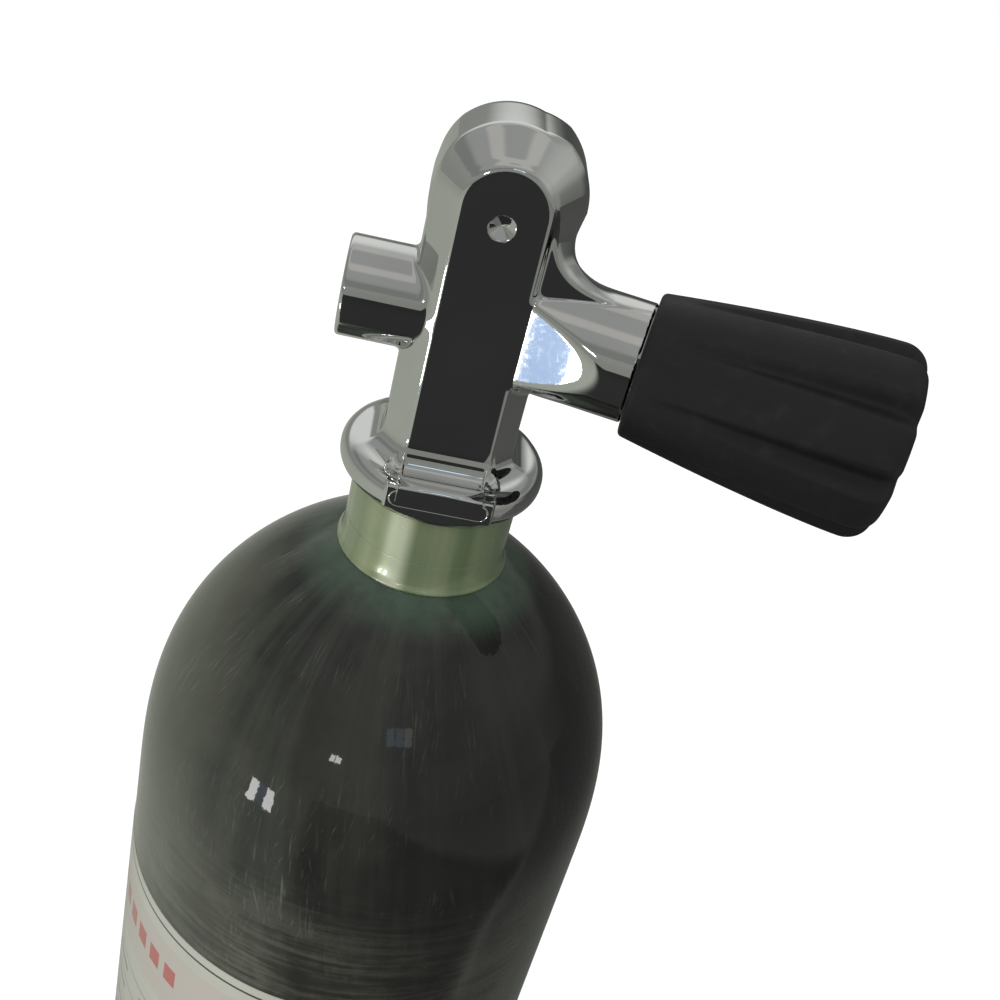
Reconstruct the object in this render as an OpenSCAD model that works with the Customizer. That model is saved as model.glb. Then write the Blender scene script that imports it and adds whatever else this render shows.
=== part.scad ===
// Wrapped diving cylinder with a pillar valve, handwheel and rubber boot.
// Frame: +Z up, origin at the centre of the boot's underside.
// The valve's outlet faces +Y and its flat rear face faces -Y.

/* [Cylinder] */
// Outer diameter of the wrapped cylinder
tank_d = 114; // [100:1:140]
// Length from the bottom of the shell to the top of the neck
shell_len = 446; // [320:1:620]
// Wall of the metal liner
liner_wall = 2.5; // [1.5:0.1:4]
// Thickness of the carbon winding
carbon_wall = 4.2; // [2:0.1:6]
// Thickness of the clear glass winding over the carbon
glass_wall = 0.8; // [0.4:0.1:1.6]
// Height of the rounded shoulder
shoulder_h = 73.5; // [55:0.5:95]
// Depth of the rounded bottom
base_h = 48; // [35:1:60]

/* [Neck] */
// Outer diameter of the bare neck
neck_d = 36.8; // [32:0.2:46]
// Length of bare neck above the winding
neck_len = 18.4; // [12:0.2:26]
// Major diameter of the neck thread
neck_thread_d = 18; // [16:0.5:20]
// Length of the valve's neck thread
stem_len = 20; // [14:0.5:26]
// Section of the neck seal
neck_seal_d = 2.6; // [1.8:0.1:3.2]

/* [Label] */
// Distance from the neck's top to the label's top edge
label_drop = 113; // [100:1:150]
// Height of the label
label_h = 120; // [60:1:130]
// Angle that the label covers
label_span = 150; // [60:1:240]
// Thickness of the label
label_t = 0.2; // [0.1:0.05:0.4]

/* [Boot] */
// Height of the boot
boot_h = 68; // [56:1:90]
// Wall of the boot
boot_wall = 3.5; // [2.5:0.1:6]
// Thickness under the middle of the shell
boot_floor = 6; // [4:0.5:10]
// Number of open pockets under the boot
pocket_count = 12; // [8:1:14]

/* [Valve body] */
// Radius of the valve's collar
collar_r = 22.3; // [20:0.1:26]
// Distance from the valve's axis to its rear face
rear_y = 11.2; // [10:0.1:14]
// Half of the rear face's width
rear_half = 8.7; // [6:0.1:11]
// Half of the column's width
side_half = 13.8; // [13:0.1:17]
// Height of the centre of the head's arch above the collar
arch_z = 61.8; // [58:0.1:70]
// Radius of the head behind its rear bevel
head_r = 15; // [14:0.1:17]
// Height of the outlet's axis above the collar
outlet_z = 58.9; // [55:0.1:66]
// Outer radius of the outlet boss
outlet_r = 14.8; // [13.5:0.1:17]
// Distance from the valve's axis to the outlet face
outlet_y = 14; // [12:0.1:20]
// Major diameter of the outlet thread
outlet_thread_d = 22.9; // [20:0.1:24]
// Depth of the outlet thread
outlet_depth = 15.5; // [12:0.1:17]

/* [Side stub] */
// Outer radius of the side stub
stub_r = 10.2; // [9.4:0.1:12]
// Distance from the valve's axis to the stub's end
stub_len = 27.4; // [24:0.1:34]
// Radius of the safety plug's thread
plug_r = 7; // [5.5:0.1:7.6]
// Thickness of the bursting disc
disc_t = 0.4; // [0.2:0.1:0.8]

/* [Spindle] */
// Height of the handwheel's axis above the collar
knob_z = 36; // [33:0.1:40]
// Angle by which the handwheel's axis swings to the rear
knob_swing = 14; // [0:1:20]
// Radius of the boss that holds the spindle
boss_r = 12.4; // [11.4:0.1:13]
// Radius of the spindle chamber
chamber_r = 6; // [5:0.1:6.5]
// Length of the lower spindle
lower_len = 11; // [9:0.1:12]
// Travel of the lower spindle from shut to open
travel = 3; // [1:0.1:3.6]
// Radius of the upper spindle's shaft
shaft_r = 3.5; // [3:0.1:4]
// Thickness of the upper spindle's drive blade
blade_t = 2.2; // [1.5:0.1:3]

/* [Handwheel] */
// Length of the rubber grip
grip_len = 53; // [46:0.5:64]
// Radius of the grip at the valve's end
grip_r_in = 15; // [14.9:0.1:18]
// Radius of the grip at the free end
grip_r_out = 20; // [18.5:0.1:24]
// Number of hollow flutes round the grip
flute_count = 8; // [6:1:10]
// Depth of a flute at the free end
flute_depth = 2.2; // [1:0.1:2.6]
// Across flats of the handwheel's nut
nut_af = 8; // [7:0.5:10]

/* [Clearances] */
// Radial clearance of a running or threaded fit
run_gap = 0.05; // [0.02:0.01:0.1]
// Radial clearance round loose pieces
loose_gap = 0.3; // [0.2:0.05:0.6]

/* [Hidden] */
$fn = 64;
tiny = 0.01;

// Cylinder, measured up from the boot's underside
tank_r = tank_d / 2;
carbon_r = tank_r - glass_wall;
liner_r = carbon_r - carbon_wall;
neck_r = neck_d / 2;
shell_z = boot_floor;
neck_top_z = shell_z + shell_len;
lip_z = neck_top_z - neck_len;
shoulder_z = lip_z - shoulder_h;
base_z = shell_z + base_h;
base_wall_all = glass_wall + carbon_wall;
dome_power = 2.9;
dome_root = 1.1;
dome_steps = 20;
base_steps = 12;
carbon_lip = 0.4;
glass_lip = 0.2;
neck_bore_r = neck_thread_d / 2;
inner_shoulder_h = shoulder_h - 9;
gland_r = neck_bore_r + neck_seal_d + 0.3;
gland_h = neck_seal_d;

// Valve, measured from the collar's middle
collar_low = 5;
collar_high = 6.5;
collar_z = neck_top_z + collar_low;
stem_r = neck_bore_r - run_gap;
side_y = 5.3;
front_y = 8;
front_bevel = 3;
facet_y = 19.6;
ledge_half = 8.3;
tag_half = 11.3;
inlet_r = 2.5;
tube_r = 3;
tube_wall = 1.2;
tube_len = 60;
tube_seat = 10;
dimple_r = 2.65;
outlet_bore_r = outlet_thread_d / 2;
outlet_floor_y = outlet_y - outlet_depth;
outlet_bevel = 1.5;
flow_r = 2;

// Spindle gear, measured outwards from the valve's axis
seat_s = 6;
seat_r = 3.3;
chamber_s = seat_s - 1;
disc_depth = 1.5;
seat_disc_t = 2 + disc_depth;
seat_disc_r = 3.5;
lower_s = seat_s + seat_disc_t - disc_depth;
lower_end = lower_s + lower_len;
slot_s = lower_s + disc_depth + 2;
blade_s = slot_s + travel + loose_gap;
blade_gap = 0.1;
blade_w = 2 * (chamber_r - run_gap) - 3;
gasket_s = lower_end + travel;
gasket_t = 0.8;
bonnet_s = gasket_s + gasket_t;
flange_s = bonnet_s + gasket_t;
flange_t = 2;
washer_s = flange_s + flange_t;
washer_t = 1;
web_s = washer_s + washer_t;
bonnet_r = chamber_r + 3;
boss_end = web_s + 7.4;
hex_len = 5.5;
hex_af = 22;
hex_r = hex_af / 2 / cos(30);
nose_r = 6.5;
nose_len = 5;
cavity_r = chamber_r - 0.4;
flange_r = cavity_r - 0.1;
ring_r = 0.6;
ring_step = 4;
ring_count = 2;

// Handwheel
grip_s = boss_end + 0.8;
skirt_r = hex_r + 0.6;
core_s = grip_s + 0.5;
hub_s = boss_end + hex_len + nose_len + 2;
hub_t = 8;
core_end = grip_s + grip_len - 3;
core_r_in = skirt_r + 0.8;
core_r_out = grip_r_out - 3.6;
recess_r = 9;
square_w = 2 * shaft_r * cos(45) - 0.05;
stud_r = square_w / 2 - 0.05;
spring_len = 10;
spring_wire = 0.7;
spring_r = 5.2;
spring_turns = 4;
knob_washer_t = 1;
knob_washer_s = hub_s + hub_t + spring_len;
nut_s = knob_washer_s + knob_washer_t;
nut_t = 4;
stud_end = nut_s + nut_t + 1.5;
flute_r = 6.5;
flute_start = 5;
flute_turn = -2;

// Safety plug in the stub
port_len = 12;
port_s = stub_len - port_len;
burst_gasket_t = 0.8;
plug_socket_r = 3.5;
plug_recess = 1;

function shoulder_part(t) = pow(1 - pow(1 - t, dome_power), 1 / dome_root);
function shoulder(r_low, r_high, z_high, h) = [
  for (i = [0 : dome_steps])
    let (t = 1 - cos(90 * i / dome_steps))
      [r_low + (r_high - r_low) * shoulder_part(t), z_high - h * t]
];
function base_curve(r, h) = [
  for (i = [0 : base_steps])
    i == base_steps ? [0, base_z - h] : let (a = 90 * i / base_steps) [r * cos(a), base_z - h * sin(a)]
];
function reversed(list) = [for (i = [len(list) - 1 : -1 : 0]) list[i]];
function skin(lip_r, r, h) = concat(shoulder(lip_r, r, lip_z, shoulder_h), base_curve(r, h));
function arc(x, y, r, a0, a1, steps) = [
  for (i = [0 : steps]) let (a = a0 + (a1 - a0) * i / steps) [x + r * cos(a), y + r * sin(a)]
];

liner_skin = skin(neck_r, liner_r, base_h - base_wall_all);
carbon_skin = skin(neck_r + carbon_lip, carbon_r, base_h - glass_wall);
glass_skin = skin(neck_r + carbon_lip + glass_lip, tank_r, base_h);
hollow = concat(
  shoulder(neck_bore_r, liner_r - liner_wall, shoulder_z + inner_shoulder_h, inner_shoulder_h),
  base_curve(liner_r - liner_wall, base_h - base_wall_all - liner_wall)
);

module ring(r_in, r_out, h) {
  difference() {
    cylinder(h = h, r = r_out);
    translate([0, 0, -tiny]) cylinder(h = h + 2 * tiny, r = r_in);
  }
}

module torus(r_mid, r_wire) {
  rotate_extrude() translate([r_mid, 0]) circle(r = r_wire, $fn = 24);
}

module hexagon(af, h) {
  cylinder(h = h, r = af / 2 / cos(30), $fn = 6);
}

module at_valve() {
  translate([0, 0, collar_z]) children();
}

// Local +Z runs outwards along the handwheel's axis
module along_knob() {
  at_valve() translate([0, 0, knob_z]) rotate([0, 0, -knob_swing]) rotate([0, 90, 0]) children();
}

// Local +Z runs outwards along the stub
module along_stub() {
  at_valve() translate([0, 0, knob_z]) rotate([0, -90, 0]) children();
}

// Local +Z runs out of the outlet
module along_outlet() {
  at_valve() translate([0, 0, outlet_z]) rotate([-90, 0, 0]) children();
}

module liner() {
  color("darkseagreen") difference() {
    rotate_extrude($fn = 96) polygon(concat(
      [[neck_bore_r, neck_top_z], [neck_r, neck_top_z]], liner_skin, reversed(hollow)
    ));
    translate([0, 0, neck_top_z - gland_h]) cylinder(h = gland_h + tiny, r = gland_r);
  }
}

module carbon_wrap() {
  color("dimgray") rotate_extrude($fn = 96) polygon(concat(carbon_skin, reversed(liner_skin)));
}

module glass_wrap() {
  color("darkslategray") rotate_extrude($fn = 96) polygon(concat(glass_skin, reversed(carbon_skin)));
}

module label() {
  label_mid = 212;
  color("whitesmoke")
    translate([0, 0, neck_top_z - label_drop - label_h])
      rotate([0, 0, label_mid - label_span / 2])
        rotate_extrude(angle = label_span, $fn = 96)
          translate([tank_r, 0]) square([label_t, label_h]);
}

module tank_boot() {
  outer_r = tank_r + boot_wall;
  round_r = 2;
  pocket_r = 6.5;
  pocket_ring_r = tank_r - 9.5;
  pocket_h = 15;
  color("black") difference() {
    rotate_extrude($fn = 96) polygon(concat(
      [[0, 0], [outer_r - round_r, 0]],
      arc(outer_r - round_r, round_r, round_r, -90, 0, 4),
      [[outer_r, boot_h - 1], [outer_r - 1, boot_h], [tank_r, boot_h]],
      base_curve(tank_r, base_h)
    ));
    for (i = [0 : pocket_count - 1])
      rotate([0, 0, 360 * i / pocket_count])
        translate([pocket_ring_r, 0, -tiny]) cylinder(h = pocket_h, r = pocket_r);
  }
}

module neck_o_ring() {
  color("black") translate([0, 0, neck_top_z - neck_seal_d / 2])
    torus(neck_bore_r + neck_seal_d / 2, neck_seal_d / 2);
}

module collar_solid() {
  rim_r = 3.2;
  rim_z = 1;
  root_r = 3;
  difference() {
    rotate_extrude($fn = 96) polygon(concat(
      [[0, -collar_low], [neck_r + 0.9, -collar_low], [neck_r + 0.9, rim_z - rim_r]],
      arc(collar_r - rim_r, rim_z, rim_r, -80, 80, 12),
      [[side_half + root_r - 1, collar_high - 1], [side_half - 1, collar_high + root_r], [0, collar_high + root_r]]
    ));
    translate([-collar_r, -collar_r - facet_y, -collar_low - tiny])
      cube([2 * collar_r, collar_r, collar_low + collar_high + root_r + 2 * tiny]);
  }
}

// Concave ledge between the rear face and the collar's facet
module ledge_solid() {
  ledge_top = collar_high + 2.5;
  rotate([90, 0, 90]) translate([0, 0, -ledge_half]) linear_extrude(height = 2 * ledge_half)
    polygon([
      [0, 0], [0, ledge_top], [-rear_y, ledge_top], [-rear_y - 1, ledge_top - 2],
      [-rear_y - 3, ledge_top - 3.2], [-facet_y + 1, ledge_top - 4], [-facet_y, ledge_top - 5], [-facet_y, 0]
    ]);
}

// Square-cornered block that carries the collar's rear facet
module tag_solid() {
  tag_low = 2.2;
  tag_high = 3.3;
  tag_depth = 6;
  translate([-tag_half, -facet_y, -tag_low]) cube([2 * tag_half, tag_depth, tag_low + tag_high]);
}

module column_solid() {
  linear_extrude(height = arch_z) polygon([
    [-rear_half, -rear_y], [rear_half, -rear_y], [side_half, -side_y],
    [side_half, front_y - front_bevel], [side_half - front_bevel, front_y],
    [-side_half + front_bevel, front_y], [-side_half, front_y - front_bevel], [-side_half, -side_y]
  ]);
}

module head_solid() {
  head_front = 9;
  rotate_extrude($fn = 96) polygon([
    [0, -rear_y], [rear_half, -rear_y], [side_half, -side_y], [head_r, -side_y + 4],
    [head_r, head_front], [head_r - front_bevel, head_front + front_bevel / 2], [0, head_front + front_bevel / 2]
  ]);
}

module outlet_solid() {
  rotate_extrude($fn = 96) polygon([
    [0, 0], [outlet_r, 0], [outlet_r, outlet_y - outlet_bevel], [outlet_r - outlet_bevel, outlet_y], [0, outlet_y]
  ]);
}

// Space behind the rear face, and behind the flat that rises from it along the handwheel's boss
module rear_space() {
  flat_lean = 28;
  reach = 2 * collar_r;
  translate([0, 0, collar_high + 3]) linear_extrude(height = arch_z + head_r) polygon([
    [-reach, -rear_y], [rear_half + 0.5, -rear_y],
    [rear_half + reach, -rear_y - (reach - 0.5) * tan(flat_lean)], [-reach, -rear_y - (reach - 0.5) * tan(flat_lean)]
  ]);
}

module boss_solid() {
  flare = 2.2;
  flare_s = side_half + 1;
  rotate_extrude() polygon(concat(
    [[0, 0], [boss_r + flare, 0], [boss_r + flare, flare_s - 3]],
    [for (i = [0 : 6]) let (t = i / 6) [boss_r + flare * pow(1 - t, 2), flare_s + 8 * t]],
    [[boss_r, boss_end - 1], [boss_r - 1, boss_end], [0, boss_end]]
  ));
}

module stub_solid() {
  bevel = 0.8;
  rotate_extrude() polygon([
    [0, 0], [stub_r, 0], [stub_r, stub_len - bevel], [stub_r - bevel, stub_len], [0, stub_len]
  ]);
}

// Drilling from the spindle chamber up to the outlet's floor
module rising_drilling() {
  from_s = lower_s + 1;
  dx = from_s * cos(knob_swing);
  dy = from_s * sin(knob_swing);
  rise = outlet_z - knob_z;
  flat_run = norm([dx, outlet_floor_y - 1 + dy]);
  at_valve() translate([dx, -dy, knob_z])
    rotate([0, 0, atan2(outlet_floor_y + 1 + dy, -dx)])
      rotate([0, atan2(flat_run, rise), 0])
        cylinder(h = norm([flat_run, rise]) + 1, r = flow_r);
}

module valve_body() {
  color("silver") difference() {
    union() {
      at_valve() collar_solid();
      at_valve() ledge_solid();
      at_valve() tag_solid();
      at_valve() column_solid();
      at_valve() translate([0, 0, arch_z]) rotate([-90, 0, 0]) head_solid();
      along_outlet() outlet_solid();
      along_knob() boss_solid();
      along_stub() stub_solid();
      at_valve() translate([0, 0, -collar_low - stem_len]) cylinder(h = stem_len + 1, r = stem_r);
    }
    at_valve() rear_space();
    // Inlet and the seat of the anti-debris tube
    at_valve() translate([0, 0, -collar_low - stem_len - tiny])
      cylinder(h = collar_low + stem_len + knob_z, r = inlet_r);
    at_valve() translate([0, 0, -collar_low - stem_len - tiny]) cylinder(h = tube_seat, r = tube_r + run_gap);
    // Spindle chamber, leaving a raised seat round the inlet
    along_knob() cylinder(h = boss_end, r = flow_r);
    along_knob() translate([0, 0, chamber_s]) ring(seat_r, chamber_r, seat_s - chamber_s + tiny);
    along_knob() translate([0, 0, seat_s]) cylinder(h = gasket_s - seat_s + tiny, r = chamber_r);
    along_knob() translate([0, 0, gasket_s]) cylinder(h = boss_end - gasket_s + tiny, r = bonnet_r);
    rising_drilling();
    // Threaded outlet and its flow hole
    along_outlet() translate([0, 0, outlet_floor_y]) cylinder(h = outlet_depth + tiny, r = outlet_bore_r);
    // Safety port
    along_stub() cylinder(h = stub_len, r = inlet_r - 1);
    along_stub() translate([0, 0, port_s]) cylinder(h = port_len + tiny, r = plug_r);
    // Conical centre mark on the rear face
    along_outlet() translate([0, 0, -rear_y - tiny]) cylinder(h = 1.8, r1 = dimple_r, r2 = 0.2);
  }
}

module dip_tube() {
  color("gold") at_valve()
    translate([0, 0, -collar_low - stem_len + tube_seat - 2 * tiny - tube_len]) ring(tube_r - tube_wall, tube_r, tube_len);
}

module bonnet() {
  color("darkgray") along_knob() difference() {
    union() {
      translate([0, 0, bonnet_s]) cylinder(h = boss_end - bonnet_s, r = bonnet_r - run_gap);
      translate([0, 0, boss_end]) hexagon(hex_af, hex_len);
      translate([0, 0, boss_end + hex_len]) cylinder(h = nose_len, r = nose_r);
    }
    translate([0, 0, bonnet_s - tiny]) cylinder(h = web_s - bonnet_s + tiny, r = cavity_r);
    translate([0, 0, web_s - tiny]) cylinder(h = boss_end + hex_len + nose_len - web_s + 2 * tiny, r = shaft_r + run_gap);
  }
}

module bonnet_gasket() {
  color("white") along_knob() translate([0, 0, gasket_s]) ring(chamber_r, bonnet_r - run_gap, gasket_t);
}

module thrust_washer() {
  color("white") along_knob() translate([0, 0, washer_s]) ring(shaft_r + run_gap, flange_r, washer_t);
}

module upper_spindle() {
  color("goldenrod") along_knob() difference() {
    union() {
      translate([-blade_w / 2, -blade_t / 2, blade_s]) cube([blade_w, blade_t, flange_s - blade_s + tiny]);
      translate([0, 0, flange_s]) cylinder(h = flange_t, r = flange_r);
      translate([0, 0, washer_s - tiny]) cylinder(h = hub_s - washer_s + tiny, r = shaft_r);
      translate([-square_w / 2, -square_w / 2, hub_s - tiny]) cube([square_w, square_w, hub_t + tiny]);
      translate([0, 0, hub_s + hub_t - tiny]) cylinder(h = stud_end - hub_s - hub_t + tiny, r = stud_r);
    }
    for (i = [0 : ring_count - 1])
      translate([0, 0, web_s + 2 + ring_step * i]) ring(shaft_r - 2 * ring_r, shaft_r + 1, 1.8);
  }
}

module spindle_o_rings() {
  color("black") along_knob()
    for (i = [0 : ring_count - 1])
      translate([0, 0, web_s + 2.9 + ring_step * i]) torus(shaft_r - ring_r, ring_r);
}

module lower_spindle() {
  slot_t = blade_t + 2 * blade_gap;
  color("darkgoldenrod") along_knob() difference() {
    translate([0, 0, lower_s]) cylinder(h = lower_len, r = chamber_r - run_gap);
    translate([0, 0, lower_s - tiny]) cylinder(h = disc_depth + tiny, r = seat_disc_r);
    translate([-chamber_r, -slot_t / 2, slot_s]) cube([2 * chamber_r, slot_t, lower_len]);
  }
}

module seat_disc() {
  color("ivory") along_knob() translate([0, 0, seat_s]) cylinder(h = seat_disc_t, r = seat_disc_r);
}

module core_cone(extra) {
  rotate_extrude() polygon([
    [0, core_s - extra], [core_r_in + extra, core_s - extra], [core_r_out + extra, core_end + extra], [0, core_end + extra]
  ]);
}

module knob_core() {
  color("dimgray") along_knob() difference() {
    core_cone(0);
    translate([0, 0, core_s - tiny]) cylinder(h = hub_s - core_s + tiny, r = skirt_r);
    translate([0, 0, hub_s + hub_t]) cylinder(h = core_end, r = recess_r);
    translate([-square_w / 2 - run_gap, -square_w / 2 - run_gap, hub_s - 1])
      cube([square_w + 2 * run_gap, square_w + 2 * run_gap, hub_t + 2]);
  }
}

module knob_grip() {
  edge_r = 1.2;
  end_r = 4.5;
  grip_end = grip_s + grip_len;
  lean = atan2(grip_r_out - grip_r_in - flute_depth, grip_len - flute_start);
  color("black") along_knob() difference() {
    rotate_extrude($fn = 96) polygon(concat(
      [[skirt_r, grip_s]],
      arc(grip_r_in - edge_r, grip_s + edge_r, edge_r, -90, 0, 3),
      arc(grip_r_out - end_r, grip_end - end_r, end_r, 5, 90, 6),
      [[recess_r, grip_end - 0.8]]
    ));
    core_cone(0);
    translate([0, 0, grip_s - 1]) cylinder(h = core_s - grip_s + 2, r = skirt_r);
    for (i = [0 : flute_count - 1])
      rotate([0, 0, flute_turn + 360 * i / flute_count])
        translate([grip_r_in + flute_r, 0, grip_s + flute_start])
          rotate([0, lean, 0]) translate([0, 0, -grip_len]) cylinder(h = 3 * grip_len, r = flute_r);
    translate([0, 0, core_end - 1]) cylinder(h = grip_len, r = recess_r);
  }
}

module knob_spring() {
  steps = 16;
  sides = 8;
  rise = spring_len - 2 * spring_wire - 0.2;
  total = steps * spring_turns;
  rings = [
    for (i = [0 : total], k = [0 : sides - 1])
      let (a = 360 * i / steps, b = 360 * k / sides, r = spring_r + spring_wire * cos(b))
        [r * cos(a), r * sin(a), rise * i / total + spring_wire * sin(b)]
  ];
  walls = [
    for (i = [0 : total - 1], k = [0 : sides - 1])
      let (j = (k + 1) % sides) [i * sides + k, (i + 1) * sides + k, (i + 1) * sides + j, i * sides + j]
  ];
  ends = [[for (k = [0 : sides - 1]) k], [for (k = [sides - 1 : -1 : 0]) total * sides + k]];
  color("lightsteelblue") along_knob()
    translate([0, 0, hub_s + hub_t + spring_wire + 0.1]) polyhedron(points = rings, faces = concat(walls, ends));
}

module knob_washer() {
  color("lightgray") along_knob() translate([0, 0, knob_washer_s]) ring(stud_r + run_gap, recess_r - 1, knob_washer_t);
}

module knob_nut() {
  color("lightgray") along_knob() translate([0, 0, nut_s]) difference() {
    hexagon(nut_af, nut_t);
    translate([0, 0, -tiny]) cylinder(h = nut_t + 2 * tiny, r = stud_r + run_gap);
  }
}

module burst_gasket() {
  color("peru") along_stub() translate([0, 0, port_s]) ring(inlet_r - 1, plug_r - run_gap, burst_gasket_t);
}

module burst_disc() {
  color("orange") along_stub() translate([0, 0, port_s + burst_gasket_t]) cylinder(h = disc_t, r = plug_r - run_gap);
}

module burst_plug() {
  plug_s = port_s + burst_gasket_t + disc_t;
  plug_len = stub_len - plug_recess - plug_s;
  color("silver") along_stub() translate([0, 0, plug_s]) difference() {
    cylinder(h = plug_len, r = plug_r - run_gap);
    translate([0, 0, -tiny]) cylinder(h = plug_len, r = inlet_r);
    translate([0, 0, plug_len - 4]) cylinder(h = 5, r = plug_socket_r, $fn = 6);
  }
}

liner();
carbon_wrap();
glass_wrap();
label();
tank_boot();
neck_o_ring();
valve_body();
dip_tube();
bonnet();
bonnet_gasket();
upper_spindle();
thrust_washer();
spindle_o_rings();
lower_spindle();
seat_disc();
knob_core();
knob_grip();
knob_spring();
knob_washer();
knob_nut();
burst_gasket();
burst_disc();
burst_plug();
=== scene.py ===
"""Diving cylinder with a chromed pillar valve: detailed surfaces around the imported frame."""
import math

import bpy
import numpy as np
from mathutils import Matrix, Vector


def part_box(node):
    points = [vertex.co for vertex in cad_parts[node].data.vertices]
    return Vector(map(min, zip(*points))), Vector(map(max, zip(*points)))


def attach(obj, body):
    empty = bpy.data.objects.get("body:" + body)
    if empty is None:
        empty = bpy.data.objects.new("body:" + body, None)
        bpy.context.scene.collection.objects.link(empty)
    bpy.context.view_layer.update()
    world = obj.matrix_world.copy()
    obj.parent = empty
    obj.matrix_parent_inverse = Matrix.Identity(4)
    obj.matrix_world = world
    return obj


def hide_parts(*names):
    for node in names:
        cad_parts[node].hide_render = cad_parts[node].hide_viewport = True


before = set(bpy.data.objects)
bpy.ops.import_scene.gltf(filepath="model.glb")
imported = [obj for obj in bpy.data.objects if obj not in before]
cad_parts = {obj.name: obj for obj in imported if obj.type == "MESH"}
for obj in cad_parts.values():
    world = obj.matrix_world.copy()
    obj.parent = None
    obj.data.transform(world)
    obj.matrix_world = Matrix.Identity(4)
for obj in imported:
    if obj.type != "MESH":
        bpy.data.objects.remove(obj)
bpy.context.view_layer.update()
scene = bpy.context.scene
MM = 0.001

# ---------------------------------------------------------------- sizes, mm
COLLAR_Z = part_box("liner")[1].z / MM + 5.0
TANK_R = 57.0
LIP_Z = COLLAR_Z - 23.4
SHOULDER_H = 73.5
SHELL_LOW = 6.0
BASE_H = 48.0
KNOB_Z = 36.0
OUTLET_Z = 58.9
ARCH_Z = 61.8
SWING = math.radians(14)
KNOB_AXIS = np.array([math.cos(SWING), -math.sin(SWING), 0.0])
KNOB_SIDE = np.array([math.sin(SWING), math.cos(SWING), 0.0])
COLUMN_R = 13.8
OUTLET_R = 14.2
BORE_R = 11.45
STUB_R = 10.2
STUB_END = 27.4
BOSS_R = 12.4
BOSS_END = 34.3
COLLAR_R = 22.3
TAG_HALF = 11.3
PLUG_R = 7.0
BONNET_R = 9.0
CHAMBER_R = 6.0
INLET_R = 3.05
MARK_R = 2.65
REAR_Y = -11.2
FACET_Y = -19.6
GRIP_S = 34.5
GRIP_LEN = 53.0
GRIP_R = 15.0
GRIP_END_R = 20.0
GRIP_LOBES = 8
GRIP_PHASE = math.radians(-2)
BOOT_R = 60.5
BOOT_H = 68.0
BOOT_RIBS = 40
THREAD_PITCH = 1.814


# ---------------------------------------------------------------- mesh help
def new_mesh(name, verts, faces, smooth=True):
    mesh = bpy.data.meshes.new(name)
    mesh.from_pydata([tuple(v) for v in verts], [], [tuple(int(i) for i in f) for f in faces])
    mesh.validate()
    mesh.update()
    if smooth:
        mesh.polygons.foreach_set("use_smooth", [True] * len(mesh.polygons))
    obj = bpy.data.objects.new(name, mesh)
    scene.collection.objects.link(obj)
    return obj


def grid_faces(rows, cols, wrap=True, flip=False):
    faces = []
    last = cols if wrap else cols - 1
    for i in range(rows - 1):
        for j in range(last):
            k = (j + 1) % cols
            f = [i * cols + j, i * cols + k, (i + 1) * cols + k, (i + 1) * cols + j]
            faces.append(f[::-1] if flip else f)
    return faces


def closed_faces(rows, steps):
    """Faces of a ring of rows, with the last row joined to the first."""
    faces = grid_faces(rows, steps)
    first = (rows - 1) * steps
    faces += [[first + j, first + (j + 1) % steps, (j + 1) % steps, j] for j in range(steps)]
    return faces


def revolve(name, profile, steps=192):
    """Closed ring profile [(r, z)], in mm, turned round Z."""
    p = np.array(profile, float)
    a = np.linspace(0, 2 * math.pi, steps, endpoint=False)
    r, z = p[:, 0][:, None], p[:, 1][:, None]
    pts = np.stack([r * np.cos(a), r * np.sin(a), z + 0 * a], -1).reshape(-1, 3)
    return new_mesh(name, pts * MM, closed_faces(len(p), steps))


def to_knob(pts):
    """Local x across, y up, z outwards along the handwheel's axis, to the row frame in mm."""
    centre = np.array([0.0, 0.0, COLLAR_Z + KNOB_Z])
    up = np.array([0.0, 0.0, 1.0])
    return centre + pts[:, :1] * KNOB_SIDE + pts[:, 1:2] * up + pts[:, 2:] * KNOB_AXIS


def arc(cx, cy, r, a0, a1, n):
    a = np.radians(np.linspace(a0, a1, n))
    return [(cx + r * math.cos(t), cy + r * math.sin(t)) for t in a]


def sharpen(obj, angle=35):
    obj.data.set_sharp_from_angle(angle=math.radians(angle))


# ---------------------------------------------------------------- node help
def material(name):
    mat = bpy.data.materials.new(name)
    mat.use_nodes = True
    tree = mat.node_tree
    return mat, tree, tree.nodes["Principled BSDF"]


def node(tree, kind, **values):
    n = tree.nodes.new(kind)
    for key, value in values.items():
        if key.startswith("_"):
            setattr(n, key[1:], value)
        else:
            n.inputs[key.replace("__", " ")].default_value = value
    return n


def math_node(tree, op, a, b=None, c=None, clamp=False):
    n = tree.nodes.new("ShaderNodeMath")
    n.operation = op
    n.use_clamp = clamp
    for i, v in enumerate((a, b, c)):
        if v is None:
            continue
        if isinstance(v, (int, float)):
            n.inputs[i].default_value = v
        else:
            tree.links.new(v, n.inputs[i])
    return n.outputs[0]


def mix_color(tree, factor, a, b):
    n = tree.nodes.new("ShaderNodeMix")
    n.data_type = "RGBA"
    for socket, v in ((n.inputs[0], factor), (n.inputs[6], a), (n.inputs[7], b)):
        if hasattr(v, "is_linked"):
            tree.links.new(v, socket)
        elif isinstance(v, (int, float)):
            socket.default_value = v
        else:
            socket.default_value = (*v, 1)
    return n.outputs[2]


def ramp(tree, value, low, high):
    n = tree.nodes.new("ShaderNodeMapRange")
    n.interpolation_type = "SMOOTHSTEP"
    tree.links.new(value, n.inputs["Value"])
    n.inputs["From Min"].default_value = low
    n.inputs["From Max"].default_value = high
    return n.outputs[0]


def noise(tree, vector, scale, detail=3.0, rough=0.5):
    n = node(tree, "ShaderNodeTexNoise", Scale=scale, Detail=detail, Roughness=rough)
    tree.links.new(vector, n.inputs["Vector"])
    return n.outputs["Fac"]


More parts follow.
